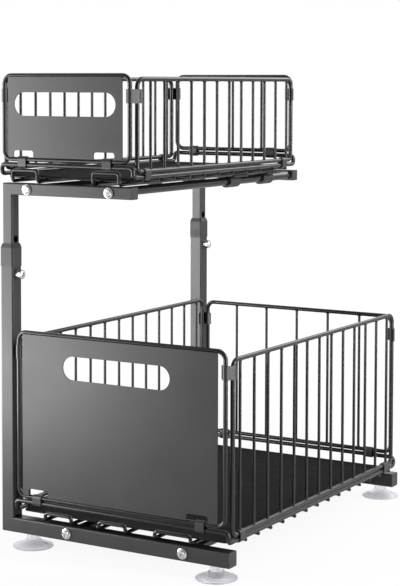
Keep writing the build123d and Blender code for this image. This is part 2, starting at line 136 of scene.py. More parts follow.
def strength(name, description):
    """A brightness that the user may change, 1 as it stands."""
    return bpy.props.FloatProperty(name=name, description=description, min=0.0, default=1.0)


def number(name, description, default, least=0):
    """A whole number that the user may change."""
    return bpy.props.IntProperty(name=name, description=description, min=least, default=default)


class BasketWires(bpy.types.PropertyGroup):
    """Wires of the baskets and the rails that they slide on"""

    frame: length("Frame wire", "Diameter of the base ring and the panel frames", 4.6)
    upright: length("Upright wire", "Diameter of the uprights of the panels", 3.0)
    cross: length("Cross wire", "Diameter of the floor wires from side to side", 3.0)
    loop: length("Loop wire", "Diameter of the lengthwise floor wires", 3.8)
    rail: length("Rail", "Diameter of the rails", 9.0)
    ring_bend: length("Ring bend", "Bend radius of the base ring", 4.1)
    panel_bend: length("Panel bend", "Bend radius of the panel frames", 8.5)
    foot_bend: length("Foot bend", "Bend radius at the feet of the side panels", 5.0)
    loop_bend: length("Loop bend", "Bend radius of the front loops", 3.2)
    bead: length("Weld bead", "How far a weld bead stands out from its wire", 0.5)
    sink: length("Sink", "How far an upright's ends reach into the frame wires", 0.4)
    sides: number("Sides", "Sides of a wire", 16, least=6)
    rail_sides: number("Rail sides", "Sides of a rail", 40, least=6)
    seed: number("Seed", "Seed of the uneven weld beads", 7)


class BasketPlate(bpy.types.PropertyGroup):
    """Sheet fronts of the baskets"""

    edge: length("Edge", "Radius of the rounded edges of the sheet", 0.18)
    corner: length("Corner", "Radius of the corners of the plate", 2.0)
    slot_height: length("Slot height", "Height of the finger slot", 23.4)
    strap_width: length("Strap width", "Width of the hinge straps under the notches", 10.0)
    notch_width: length("Notch width", "Width of the notch over a hinge strap", 24.0)
    notch_height: length("Notch height", "Height of the notch over a hinge strap", 7.0)
    notch_bend: length("Notch bend", "Radius of the corners of the notch", 2.5)
    notch_offset: length("Notch offset", "From the strap's middle towards the plate's", 2.5)


class BasketScrews(bpy.types.PropertyGroup):
    """Screws of the rails and the height adjustment"""

    head: length("Head", "Diameter of the head of a rail screw", 10.6)
    head_height: length("Head height", "Height of the head of a rail screw", 3.2)
    shank: length("Shank", "Diameter of the shank of every screw", 4.8)
    shank_length: length("Shank length", "Length of the shank of a rail screw", 14.0)
    recess: length("Recess", "Length of the cross recess", 6.0)
    recess_width: length("Recess width", "Width of the arms of the cross recess", 1.3)
    recess_depth: length("Recess depth", "Depth of the cross recess", 1.9)
    lock_head: length("Lock screw head", "Diameter of the domed head of a lock screw", 9.6)
    lock_dome: length("Lock screw dome", "Height of the dome of a lock screw", 2.9)
    lock_washer: length("Lock washer", "Diameter of the washer of a lock screw", 8.4)
    lock_washer_height: length("Lock washer height", "Height of that washer", 2.8)
    post: length("Post", "Side of the square post that the lock screws sit on", 15.0)
    seed: number("Seed", "Seed of the turns of the screws", 3)


class BasketCups(bpy.types.PropertyGroup):
    """Suction cups"""

    neck: length("Neck", "Diameter of the neck", 12.7)
    neck_foot: length("Neck foot", "Height of the foot of the neck above the rim", 7.5)
    shoulder: length("Shoulder", "Diameter where the dome begins", 19.0)
    shoulder_height: length("Shoulder height", "Height of the shoulder above the rim", 5.6)
    lip: length("Lip", "Thickness of the rim", 1.2)
    hollow: length("Hollow", "Height of the hollow under the dome", 2.6)
    stud: length("Stud", "Diameter of the stud through the wall of the tube", 6.0)
    stud_head: length("Stud head", "Diameter of the head of the stud in the tube", 9.0)
    tube_wall: length("Tube wall", "Thickness of the wall that the stud goes through", 1.2)
    round_over: length("Round-over", "Size of the small rounded edges", 0.3)


class BasketFinish(bpy.types.PropertyGroup):
    """Colours and gloss of the materials"""

    enamel: tint("Enamel", "Colour of the enamel on tubes and sheet", (0.03, 0.03, 0.0305))
    enamel_roughness: share("Enamel roughness", "Roughness of that enamel", 0.34)
    # The wires take the same paint as the tubes in a darker colour, as painted shade.
    wire: tint("Wire enamel", "Colour of the enamel on the wires", (0.012, 0.012, 0.0125))
    wire_roughness: share("Wire roughness", "Roughness of the enamel on the wires", 0.2)
    enamel_drift: share("Drift", "How far the roughness of the enamel drifts each way", 0.03)
    enamel_peel: length("Orange peel", "Height of the waves of the sprayed enamel", 0.02)
    plastic: tint("Plastic", "Colour of the black plastic", (0.03, 0.03, 0.032))
    chrome: tint("Bright metal", "Colour of the screws", (0.82, 0.82, 0.83))
    mat: tint("Mat", "Colour of the mats", (0.022, 0.022, 0.023))
    vinyl: tint("Vinyl", "Colour of the suction cups", (0.95, 0.93, 0.99))


class BasketStudio(bpy.types.PropertyGroup):
    """Floor, lamps and camera"""

    white: strength("Backdrop white", "Brightness of floor and backdrop as the camera sees them")
    fill: share("Fill", "Brightness of the surroundings that light the object", 0.14)
    room: share("Room", "How white the room before the object looks in its gloss", 0.15)
    floor_gloss: share("Floor gloss", "How much of the white floor the gloss shows", 0.2)
    lamp: strength("Lamp strength", "Multiplies the strength of every lamp")


# ------------------------------------------------------------------ nodes
def add(tree, kind, feeds=(), **settings):
    """A node with its settings, its sockets fed by name with values or other nodes' outputs."""
    node = tree.nodes.new(kind)
    for name, value in settings.items():
        setattr(node, name, value)
    for name, value in dict(feeds).items():
        if isinstance(name, int):
            socket = node.inputs[name]
        else:
            socket = next(one for one in node.inputs if one.name == name and one.enabled)
        if isinstance(value, bpy.types.NodeSocket):
            tree.links.new(value, socket)
        else:
            socket.default_value = value
    return node


def out(node, name=None):
    """The output of that name, or the first one in use."""
    return next(one for one in node.outputs if one.enabled and name in (None, one.name))


def reckon(tree, operation, first, second):
    """What a math node makes of two values."""
    return out(add(tree, "ShaderNodeMath", {0: first, 1: second}, operation=operation))


def new_tree(name, inputs):
    """A geometry tree with named inputs, and its input node."""
    tree = bpy.data.node_groups.new(name, "GeometryNodeTree")
    sockets = tree.interface
    sockets.new_socket(name="Geometry", in_out="OUTPUT", socket_type="NodeSocketGeometry")
    for label, kind, value in (("Geometry", "Geometry", None), *inputs):
        socket = sockets.new_socket(name=label, in_out="INPUT", socket_type=f"NodeSocket{kind}")
        if value is not None:
            socket.default_value = value
    return tree, tree.nodes.new("NodeGroupInput")


def end_tree(tree, given, parts):
    """Join the parts, realize them, give them their material and send them out."""
    joined = add(tree, "GeometryNodeJoinGeometry")
    for part in parts:
        tree.links.new(part, joined.inputs[0])
    real = add(tree, "GeometryNodeRealizeInstances", {"Geometry": out(joined)})
    crease = add(tree, "GeometryNodeInputMeshEdgeAngle")
    sharp = add(
        tree,
        "FunctionNodeCompare",
        {"A": out(crease, "Unsigned Angle"), "B": CREASE},
        data_type="FLOAT",
        operation="GREATER_THAN",
    )
    smooth = add(tree, "GeometryNodeSetShadeSmooth", {"Geometry": out(real)}, domain="FACE")
    creased = add(
        tree,
        "GeometryNodeSetShadeSmooth",
        {"Geometry": out(smooth), "Selection": out(sharp), "Shade Smooth": False},
        domain="EDGE",
    )
    painted = add(
        tree,
        "GeometryNodeSetMaterial",
        {"Geometry": out(creased), "Material": out(given, "Material")},
    )
    add(tree, "NodeGroupOutput", {"Geometry": out(painted)})


def facing_along(tree, direction):
    """The rotation that points Z along a direction."""
    return add(tree, "FunctionNodeAlignRotationToVector", {"Vector": direction}, axis="Z")


def wire_tree():
    """Round wires bent along a mesh's edges, and a row of straight wires with weld beads."""
    inputs = (
        ("Wire radius", "Float", 0.0023),
        ("Sides", "Int", 16),
        ("Bend steps", "Int", 8),
        ("Row start", "Vector", (0, 0, 0)),
        ("Row step", "Vector", (0, 0, 0)),
        ("Row count", "Int", 0),
        ("Row along", "Vector", (0, 0, 1)),
        ("Row length", "Float", 0.1),
        ("Row radius", "Float", 0.0015),
        ("Bead radius", "Float", 0.002),
        ("Bead inset", "Float", 0.0),
        ("Seed", "Int", 0),
        ("Material", "Material", None),
    )
    tree, given = new_tree("bent_wires_and_row", inputs)
    path = add(tree, "GeometryNodeMeshToCurve", {"Mesh": out(given, "Geometry")})
    bend = add(tree, "GeometryNodeInputNamedAttribute", {"Name": "bend"}, data_type="FLOAT")
    rounded = add(
        tree,
        "GeometryNodeFilletCurve",
        {
            "Curve": out(path),
            "Count": out(given, "Bend steps"),
            "Radius": out(bend, "Attribute"),
            "Limit Radius": True,
        },
        mode="POLY",
    )
    outline = add(
        tree,
        "GeometryNodeCurvePrimitiveCircle",
        {"Resolution": out(given, "Sides"), "Radius": out(given, "Wire radius")},
        mode="RADIUS",
    )
    bent = add(
        tree,
        "GeometryNodeCurveToMesh",
        {"Curve": out(rounded), "Profile Curve": out(outline), "Fill Caps": True},
    )
    places = add(
        tree,
        "GeometryNodeMeshLine",
        {
            "Count": out(given, "Row count"),
            "Start Location": out(given, "Row start"),
            "Offset": out(given, "Row step"),
        },
        mode="OFFSET",
    )
    turn = facing_along(tree, out(given, "Row along"))
    straight = add(
        tree,
        "GeometryNodeMeshCylinder",
        {
            "Vertices": out(given, "Sides"),
            "Radius": out(given, "Row radius"),
            "Depth": out(given, "Row length"),
        },
    )
    row = add(
        tree,
        "GeometryNodeInstanceOnPoints",
        {"Points": out(places), "Instance": out(straight, "Mesh"), "Rotation": out(turn)},
    )
    half = reckon(tree, "MULTIPLY", out(given, "Row length"), 0.5)
    reach = reckon(tree, "SUBTRACT", half, out(given, "Bead inset"))
    drop = add(
        tree,
        "GeometryNodeMeshUVSphere",
        {"Segments": 12, "Rings": 8, "Radius": out(given, "Bead radius")},
    )
    parts = [out(bent), out(row)]
    for side in (1.0, -1.0):
        shift = add(
            tree,
            "ShaderNodeVectorMath",
            {0: out(given, "Row along"), "Scale": reckon(tree, "MULTIPLY", reach, side)},
            operation="SCALE",
        )
        ends = add(
            tree,
            "GeometryNodeTransform",
            {"Geometry": out(places), "Translation": out(shift)},
        )
        wobble = add(
            tree,
            "FunctionNodeRandomValue",
            {"Min": (0.86, 0.86, 0.5), "Max": (1.05, 1.05, 0.75), "Seed": out(given, "Seed")},
            data_type="FLOAT_VECTOR",
        )
        beads = add(
            tree,
            "GeometryNodeInstanceOnPoints",
            {
                "Points": out(ends),
                "Instance": out(drop),
                "Rotation": out(turn),
                "Scale": out(wobble),
            },
        )
        parts.append(out(beads))
    end_tree(tree, given, parts)
    return tree


def set_tree():
    """The same part at each point, along the point's own direction and with its own turn."""
    inputs = (
        ("Part", "Object", None),
        ("Turn", "Float", 0.0),
        ("Seed", "Int", 0),
        ("Material", "Material", None),
    )
    tree, given = new_tree("part_at_points", inputs)
    facing = add(
        tree,
        "GeometryNodeInputNamedAttribute",
        {"Name": "facing"},
        data_type="FLOAT_VECTOR",
    )
    upright = facing_along(tree, out(facing, "Attribute"))
    turn = add(
        tree,
        "FunctionNodeRandomValue",
        {"Min": 0.0, "Max": out(given, "Turn"), "Seed": out(given, "Seed")},
        data_type="FLOAT",
    )
    spin = add(
        tree,
        "FunctionNodeAxisAngleToRotation",
        {"Axis": (0, 0, 1), "Angle": out(turn)},
    )
    aimed = add(
        tree,
        "FunctionNodeRotateRotation",
        {"Rotation": out(upright), "Rotate By": out(spin)},
        rotation_space="LOCAL",
    )
    part = add(
        tree,
        "GeometryNodeObjectInfo",
        {"Object": out(given, "Part")},
        transform_space="ORIGINAL",
    )
    placed = add(
        tree,
        "GeometryNodeInstanceOnPoints",
        {
            "Points": out(given, "Geometry"),
            "Instance": out(part, "Geometry"),
            "Rotation": out(aimed),
        },
    )
    end_tree(tree, given, [out(placed)])
    return tree


# ------------------------------------------------------------------ pieces
def new_object(name, data):
    """An object in the scene."""
    made = bpy.data.objects.new(name, data)
    bpy.context.scene.collection.objects.link(made)
    return made


def plain_mesh(helper):
    """The plain mesh that a helper object evaluates to. The helper goes."""
    bpy.context.view_layer.update()
    evaluated = helper.evaluated_get(bpy.context.evaluated_depsgraph_get())
    mesh = bpy.data.meshes.new_from_object(evaluated)
    helper.modifiers.clear()
    bpy.data.objects.remove(helper)
    return mesh


def grow(name, mesh, tree, feeds, body, nodes):
    """Run a tree on a mesh, keep the result as a plain mesh and hang it on its body."""
    seedling = new_object(name + "_seed", mesh)
    modifier = seedling.modifiers.new("shape", "NODES")
    modifier.node_group = tree
    for item in tree.interface.items_tree:
        if item.in_out == "INPUT" and item.name in feeds:
            modifier[item.identifier] = feeds[item.name]
    return finished(name, plain_mesh(seedling), body, nodes)


def finished(name, mesh, body, nodes):
    """An object for a finished mesh, riding on its body and standing for its nodes."""
    mesh.name = name
    piece = new_object(name, mesh)
    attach(piece, body)
    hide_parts(*nodes)
    return piece


def hidden_part(mesh, material):
    """An object that only serves as the part of a tree."""
    mesh.materials.clear()
    mesh.materials.append(material)
    return new_object(mesh.name, mesh)


# ------------------------------------------------------------------ shapes
def runs_mesh(name, runs):
    """A mesh of edges for the wire tree, from runs of (points, their bends, closed or not)."""
    places, edges, bends = [], [], []
    for points, run_bends, closed in runs:
        start = len(places)
        places.extend(points)
        bends.extend(run_bends)
        edges.extend((start + i, start + i + 1) for i in range(len(points) - 1))
        if closed:
            edges.append((start + len(points) - 1, start))
    mesh = bpy.data.meshes.new(name)
    mesh.from_pydata(places, edges, [])
    mesh.attributes.new("bend", "FLOAT", "POINT").data.foreach_set("value", bends)
    return mesh


def points_mesh(name, places, facings):
    """A mesh of points for the part tree, each with the direction that its part faces."""
    mesh = bpy.data.meshes.new(name)
    mesh.from_pydata(places, [], [])
    flat = [value for facing in facings for value in facing]
    mesh.attributes.new("facing", "FLOAT_VECTOR", "POINT").data.foreach_set("vector", flat)
    return mesh


def turned(name, profile, steps=48):
    """A closed body of revolution about Z, from (radius, height) points from axis to axis."""
    work = bmesh.new()
    angles = [2 * math.pi * i / steps for i in range(steps)]
    rings = []
    for radius, height in profile:
        places = [(0, 0, height)]
        if radius > 0:
            places = [(radius * math.cos(a), radius * math.sin(a), height) for a in angles]
        rings.append([work.verts.new(place) for place in places])
    for low, high in zip(rings, rings[1:]):
        for i in range(steps):
            j = (i + 1) % steps
            around = ((low, i), (low, j), (high, j), (high, i))
            corners = dict.fromkeys(ring[k % len(ring)] for ring, k in around)
            if len(corners) > 2:
                work.faces.new(corners)
    bmesh.ops.recalc_face_normals(work, faces=work.faces)
    for face in work.faces:
        face.smooth = True
    mesh = bpy.data.meshes.new(name)
    work.to_mesh(mesh)
    work.free()
    return mesh


def swung(arm, angle):
    """A flat vector turned by an angle."""
    c, s = math.cos(angle), math.sin(angle)
    return Vector((arm.x * c - arm.y * s, arm.x * s + arm.y * c))


def arc(start, end, sagitta, steps):
    """Points after the start up to the end of an arc that stands out to the left of its chord."""
    chord = Vector(end) - Vector(start)
    half = chord.length / 2
    radius = (half**2 + sagitta**2) / (2 * sagitta)
    left = Vector((-chord.y, chord.x)).normalized()
    centre = (Vector(start) + Vector(end)) / 2 - left * (radius - sagitta)
    first = Vector(start) - centre
    turn = -2 * math.asin(max(-1.0, min(1.0, half / radius)))
    return [tuple(centre + swung(first, turn * i / steps)) for i in range(1, steps + 1)]


def rounded_outline(corners, steps=6):
    """A closed outline through (x, y, radius) corners, with an arc at each."""
    made = []
    count = len(corners)
    for i, (x, y, radius) in enumerate(corners):
        here = Vector((x, y))
        if radius == 0:
            made.append(here)
            continue
        before = (Vector(corners[i - 1][:2]) - here).normalized()
        after = (Vector(corners[(i + 1) % count][:2]) - here).normalized()
        half = before.angle(after) / 2
        centre = here + (before + after).normalized() * (radius / math.sin(half))
        first = here + before * (radius / math.tan(half)) - centre
        last = here + after * (radius / math.tan(half)) - centre
        sweep = -first.angle_signed(last)
        made += [centre + swung(first, sweep * k / steps) for k in range(steps + 1)]
    return made


def axes(node, diameter):
    """Lowest and highest corners of a wire node, at the axes of its outer wires."""
    low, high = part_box(node)
    inset = Vector((diameter / 2,) * 3)
    return low + inset, high - inset


def middle(node):
    """The middle of a node's box."""
    low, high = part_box(node)
    return (low + high) / 2


def row_along_y(y0, y1, insets, count):
    """Y of the first wire of an even row and the step to the next, inset in mm at each end."""
    first, last = y0 + insets[0] * MM, y1 - insets[1] * MM
    return first, (last - first) / (count - 1)


# ------------------------------------------------------------------ materials
def new_material(name, **sockets):
    """A node material, its tree, its shader with these values, and its object coordinates."""
    material = bpy.data.materials.new(name)
    material.use_nodes = True
    tree = material.node_tree
    shader = tree.nodes["Principled BSDF"]
    for label, value in sockets.items():
        shader.inputs[label.replace("_", " ")].default_value = value
    return material, tree, shader, out(add(tree, "ShaderNodeTexCoord"), "Object")


def cloud(tree, place, scale, detail):
    """Soft noise over the surface."""
    feeds = {"Vector": place, "Scale": scale, "Detail": detail}
    return add(tree, "ShaderNodeTexNoise", feeds).outputs[0]


def uneven(tree, place, scale, low, high):
    """A value that drifts between two ends over the surface."""
    drift = add(
        tree,
        "ShaderNodeMapRange",
        {
            "Value": cloud(tree, place, scale, 2.0),
            "From Min": 0.3,
            "From Max": 0.7,
            "To Min": low,
            "To Max": high,
        },
    )
    return out(drift)


def uneven_colour(tree, place, scale, colour, drift):
    """A colour that drifts by a share of itself, lighter and darker, over the surface."""
    darker, lighter = (
        (*(value * (1 + way * drift) for value in colour), 1) for way in (-1, 1)
    )
    # Sockets 0, 6 and 7 of a colour mix are its factor and its two colours.
    feeds = {0: cloud(tree, place, scale, 3.0), 6: darker, 7: lighter}
    return add(tree, "ShaderNodeMix", feeds, data_type="RGBA").outputs[2]


def surface(name, colour, roughness, grain, **sockets):
    """A material with a drifting colour and roughness, and a grain that is a bump.

    colour: scale of the drift, the colour, how far it drifts
    roughness: scale of the drift, the lowest and the highest roughness
    grain: kind of texture, what feeds it, its height and its strength
    """
    material, tree, shader, place = new_material(name, **sockets)
    tree.links.new(uneven_colour(tree, place, *colour), shader.inputs["Base Color"])
    tree.links.new(uneven(tree, place, *roughness), shader.inputs["Roughness"])
    kind, feeds, height, strong = grain
    texture = add(tree, f"ShaderNodeTex{kind}", {"Vector": place} | feeds)
    bump = add(
        tree,
        "ShaderNodeBump",
        {"Height": texture.outputs[0], "Distance": height, "Strength": strong},
    )
    tree.links.new(out(bump), shader.inputs["Normal"])
    return material


def enamel(name, colour, roughness, finish):
    """Black enamel: orange peel, a slight drift of gloss and depth of colour."""
    drift = finish.enamel_drift
    return surface(
        name,
        colour=(60.0, colour, 0.12),
        roughness=(25.0, roughness - drift, roughness + drift),
        grain=("Noise", {"Scale": 700.0, "Detail": 2.0}, finish.enamel_peel, 0.5),
        Specular_IOR_Level=0.5,
    )


def finish_enamel(name, finish):
    """Satin enamel of the tubes and the sheet pieces."""
    return enamel(name, finish.enamel, finish.enamel_roughness, finish)


def finish_wire_painted_shade(name, finish):
    """The same enamel on the wires, where it flows smoother and shines more, in a darker colour
    that is painted shade.
    """
    return enamel(name, finish.wire, finish.wire_roughness, finish)


def finish_plastic(name, finish):
    """Matt black moulding with a fine eroded grain."""
    return surface(
        name,
        colour=(400.0, finish.plastic, 0.15),
        roughness=(120.0, 0.42, 0.55),
        grain=("Noise", {"Scale": 3500.0, "Detail": 3.0}, 0.06 * MM, 0.5),
        Specular_IOR_Level=0.5,
    )


def finish_chrome(name, finish):
    """Bright plated steel, a little cloudy, with faint turning marks."""
    return surface(
        name,
        colour=(900.0, finish.chrome, 0.06),
        roughness=(1500.0, 0.16, 0.3),
        grain=("Noise", {"Scale": 2500.0, "Detail": 2.0}, 0.04 * MM, 0.5),
        Metallic=1.0,
    )


def finish_mat(name, finish):
    """Matt rubbery sheet with small close pimples."""
    return surface(
        name,
        colour=(90.0, finish.mat, 0.15),
        roughness=(60.0, 0.8, 0.95),
        grain=("Voronoi", {"Scale": 450.0, "Randomness": 0.25}, 0.15 * MM, 0.5),
        Specular_IOR_Level=0.05,
    )


def finish_vinyl(name, finish):
    """Clear soft vinyl, slightly cloudy."""
    return surface(
        name,
        colour=(120.0, finish.vinyl, 0.04),
        roughness=(200.0, 0.4, 0.5),
        grain=("Noise", {"Scale": 600.0, "Detail": 2.0}, 0.05 * MM, 0.4),
        IOR=1.45,
        Transmission_Weight=0.85,
        Specular_IOR_Level=0.4,
    )


# Name and maker of each slot's material, and of the wires' own kind of black_enamel, whose darker
# colour is painted shade.
# The frame's plain materials are named after the slots, so these have other names.
FINISHES = {
    "black_enamel": ("satin_enamel", finish_enamel),
    "wires": ("wire_enamel", finish_wire_painted_shade),
    "black_plastic": ("moulded_plastic", finish_plastic),
    "screw_chrome": ("bright_plating", finish_chrome),
    "mat_rubber": ("mat_sheet", finish_mat),
    "cup_vinyl": ("clear_vinyl", finish_vinyl),
}


def material_of(use):
    """The material of a slot or of the wires, made the first time that it is asked for."""
    name, finish = FINISHES[use]
    return bpy.data.materials.get(name) or finish(name, bpy.context.scene.basket_finish)


# ------------------------------------------------------------------ operators
def wire_feeds(wires):
    """Inputs that every use of the wire tree shares."""
    return {
        "Wire radius": wires.frame / 2,
        "Sides": wires.sides,
        "Bend steps": 8,
        "Row radius": wires.upright / 2,
        "Bead radius": wires.upright / 2 + wires.bead,
        "Seed": wires.seed,
        "Material": material_of("wires"),
    }


class BASKET_OT_floors(bpy.types.Operator):
    """Base rings and the wires of the floors"""

    bl_idname = "basket.floors"
    bl_label = "Base rings and floor wires"

    def execute(self, context):
        wires = context.scene.basket_wires
        bend = wires.loop_bend
        tree = wire_tree()
        left_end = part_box("front_base_frame")[0].x
        for basket in BASKETS:
            name = basket["name"]
            body = f"{name}_basket"
            ring = f"{name}_base_ring"
            (x0, y0, z0), (x1, y1, z1) = axes(ring, wires.frame)
            corners = [
                (x0, y0, z1),
                (x1, y0, z1),
                (x1, y0, z0),
                (x1, y1, z0),
                (x1, y1, z1),
                (x0, y1, z1),
                (x0, y1, z0),
                (x0, y0, z0),
            ]
            mesh = runs_mesh(ring, [(corners, [wires.ring_bend] * 8, True)])
            grow(f"{name}_ring_wire", mesh, tree, wire_feeds(wires), body, [ring])

            node = f"{name}_floor_wires"
            low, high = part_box(node)
            bottom, top = low.z + wires.loop / 2, high.z - wires.loop / 2
            near, far = low.y + wires.loop / 2, high.y
            runs = []
            for pair in basket["loops"]:
                a, b = (left_end + x * MM for x in pair)
                points = [
                    (a, far, bottom),
                    (a, near, bottom),
                    (a, near, top),
                    (b, near, top),
                    (b, near, bottom),
                    (b, far, bottom),
                ]
                runs.append((points, [0, bend, bend, bend, bend, 0], False))
            count = basket["cross_wires"]
            first, step = row_along_y(y0, y1, basket["cross_wire_insets"], count)
            level = bottom + wires.loop / 2 + wires.cross / 2
            feeds = wire_feeds(wires) | {
                "Wire radius": wires.loop / 2,
                "Row start": ((low.x + high.x) / 2, first, level),
                "Row step": (0, step, 0),
                "Row count": count,
                "Row along": (1, 0, 0),
                "Row length": high.x - low.x,
                "Row radius": wires.cross / 2,
                "Bead radius": wires.cross / 2 + wires.bead,
                "Bead inset": wires.frame / 4,
            }
            grow(f"{name}_floor_grid", runs_mesh(node, runs), tree, feeds, body, [node])
        return {"FINISHED"}


def panel_feeds(wires, z0, z1, start, step, count):
    """Inputs of the wire tree for a row of uprights between the lower and the upper wire."""
    return wire_feeds(wires) | {
        "Row start": (*start, (z0 + z1) / 2),
        "Row step": step,
        "Row count": count,
        "Row length": z1 - z0 - wires.frame + 2 * wires.sink,
        "Bead inset": wires.sink,
    }


class BASKET_OT_panels(bpy.types.Operator):
    """Front frames, rear panels and side panels"""

    bl_idname = "basket.panels"
    bl_label = "Wire panels"

    def execute(self, context):
        wires = context.scene.basket_wires
        tree = wire_tree()
        end_bends = [wires.panel_bend] * 4
        side_bends = [wires.foot_bend] * 2 + [wires.panel_bend] * 2
        for basket in BASKETS:
            name = basket["name"]
            end_nodes = (f"{name}_front_frame", f"{name}_rear_panel")
            for end, node, count in zip(ENDS, end_nodes, (0, basket["rear_uprights"])):
                (x0, y, z0), (x1, _, z1) = axes(node, wires.frame)
                corners = [(x0, y, z0), (x1, y, z0), (x1, y, z1), (x0, y, z1)]
                mesh = runs_mesh(node, [(corners, end_bends, True)])
                step = (x1 - x0) / (count + 1)
                feeds = panel_feeds(wires, z0, z1, (x0 + step, y), (step, 0, 0), count)
                grow(f"{name}_{end}_wires", mesh, tree, feeds, f"{name}_{end}", [node])
            for side in SIDES:
                node = f"{name}_{side}_panel"
                (x, y0, z0), (_, y1, z1) = axes(node, wires.frame)
                corners = [(x, y0, z0), (x, y1, z0), (x, y1, z1), (x, y0, z1)]
                mesh = runs_mesh(node, [(corners, side_bends, True)])
                count = basket["side_uprights"]
                first, step = row_along_y(y0, y1, basket["side_upright_insets"], count)
                feeds = panel_feeds(wires, z0, z1, (x, first), (0, step, 0), count)
                grow(f"{name}_{side}_wires", mesh, tree, feeds, f"{name}_{side}", [node])
        return {"FINISHED"}


def cut_sheet(name, outlines, y0, y1, edge):
    """An upright sheet between two values of Y, from its outer outline and its holes."""
    curve = bpy.data.curves.new(name, "CURVE")
    curve.dimensions = "2D"
    curve.fill_mode = "BOTH"
    for outline in outlines:
        spline = curve.splines.new("POLY")
        spline.points.add(len(outline) - 1)
        for point, place in zip(spline.points, outline):
            point.co = (place.x, place.y, 0, 1)
        spline.use_cyclic_u = True
    curve.bevel_depth = edge
    curve.bevel_resolution = 2
    curve.offset = -edge
    curve.extrude = (y1 - y0) / 2 - edge
    mesh = plain_mesh(new_object(name + "_flat", curve))
    centre = Matrix.Translation((0, (y0 + y1) / 2, 0))
    mesh.transform(centre @ Matrix.Rotation(math.pi / 2, 4, "X"))
    work = bmesh.new()
    work.from_mesh(mesh)
    bmesh.ops.remove_doubles(work, verts=work.verts, dist=1e-6)
    bmesh.ops.recalc_face_normals(work, faces=work.faces)
    for face in work.faces:
        face.smooth = True
    for side in work.edges:
        side.smooth = side.calc_face_angle(0.0) < PLATE_CREASE
    work.to_mesh(mesh)
    work.free()
    return mesh


class BASKET_OT_plates(bpy.types.Operator):
    """Sheet fronts with their finger slots"""

    bl_idname = "basket.plates"
    bl_label = "Front plates"

    def execute(self, context):
        plate = context.scene.basket_plate
        left_end, _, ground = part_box("front_base_frame")[0]
        for basket in BASKETS:
            name = basket["name"]
            node = f"{name}_front_plate"
            low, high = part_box(node)
            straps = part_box(f"{name}_front_hinge_straps")
            from_end = plate.strap_width / 2 + plate.notch_offset
            top = low.z + plate.notch_height
            corners = [(low.x, low.z, plate.corner)]
            for centre in (straps[0].x + from_end, straps[1].x - from_end):
                a, b = centre - plate.notch_width / 2, centre + plate.notch_width / 2
                corners += [(a, low.z, 0), (a, top, plate.notch_bend)]
                corners += [(b, top, plate.notch_bend), (b, low.z, 0)]
            corners += [
                (high.x, low.z, plate.corner),
                (high.x, high.z, plate.corner),
                (low.x, high.z, plate.corner),
            ]
            slot_x, slot_z = basket["slot_centre"]
            x, z = left_end + slot_x * MM, ground + slot_z * MM
            half, rise = basket["slot_length"] * MM / 2, plate.slot_height / 2
            # A little under the half height, so that the two arcs of an end don't touch.
            bend = rise * 0.999
            slot = [
                (x - half, z - rise, bend),
                (x + half, z - rise, bend),
                (x + half, z + rise, bend),
                (x - half, z + rise, bend),
            ]
            outlines = (rounded_outline(corners), rounded_outline(slot, 14))
            mesh = cut_sheet(node, outlines, low.y, high.y, plate.edge)
            mesh.materials.clear()
            mesh.materials.append(material_of("black_enamel"))
            finished(f"{name}_sheet_front", mesh, f"{name}_front", [node])
        return {"FINISHED"}


class BASKET_OT_rails(bpy.types.Operator):
    """Round rails"""

    bl_idname = "basket.rails"
    bl_label = "Rails"

    def execute(self, context):
        wires = context.scene.basket_wires
        tree = wire_tree()
        feeds = wire_feeds(wires) | {"Wire radius": wires.rail / 2, "Sides": wires.rail_sides}
        for basket in BASKETS:
            nodes = [f"{basket['name']}_{side}_rail" for side in SIDES]
            runs = []
            for node in nodes:
                x, _, z = middle(node)
                ends = [(x, corner.y, z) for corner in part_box(node)]
                runs.append((ends, [0, 0], False))
            mesh = runs_mesh("rails", runs)
            grow(f"{basket['name']}_rails", mesh, tree, feeds, basket["stand"], nodes)
        return {"FINISHED"}


def cross_recessed(screws):
    """A pan head with a cross recess and its shank, the seat of the head at the origin."""
    # The head's outline goes by shares of its radius and height.
    radius, height, shank = screws.head / 2, screws.head_height, screws.shank / 2
    profile = [(0, -screws.shank_length), (shank, -screws.shank_length), (shank, 0)]
    profile += [(radius * 0.96, 0), (radius, 0.2 * MM), (radius, height * 0.28)]
    profile += arc(profile[-1], (radius * 0.62, height * 0.93), radius * 0.07, 8)
    profile += arc(profile[-1], (0, height), radius * 0.01, 4)
    profile[-1] = (0, height)
    body = new_object("pan_head", turned("pan_head", profile))

    foot_share, mouth_share = 0.62, 1.12
    foot, mouth = height - screws.recess_depth, height + 1.0 * MM
    work = bmesh.new()
    for turn in (0.0, math.pi / 2):
        made = bmesh.ops.create_cube(work, size=1.0)["verts"]
        for vert in made:
            wide, level = (foot_share, foot) if vert.co.z < 0 else (mouth_share, mouth)
            x, y, _ = vert.co
            vert.co = (x * screws.recess * wide, y * screws.recess_width * wide, level)
        about_z = Matrix.Rotation(turn, 3, "Z")
        bmesh.ops.rotate(work, verts=made, cent=(0, 0, 0), matrix=about_z)
    bmesh.ops.recalc_face_normals(work, faces=work.faces)
    recess = bpy.data.meshes.new("recess")
    work.to_mesh(recess)
    work.free()
    cutter = new_object("recess", recess)
    cut = body.modifiers.new("recess", "BOOLEAN")
    cut.operation = "DIFFERENCE"
    cut.solver = "EXACT"
    cut.use_self = True
    cut.object = cutter
    mesh = plain_mesh(body)
    bpy.data.objects.remove(cutter)
    return mesh


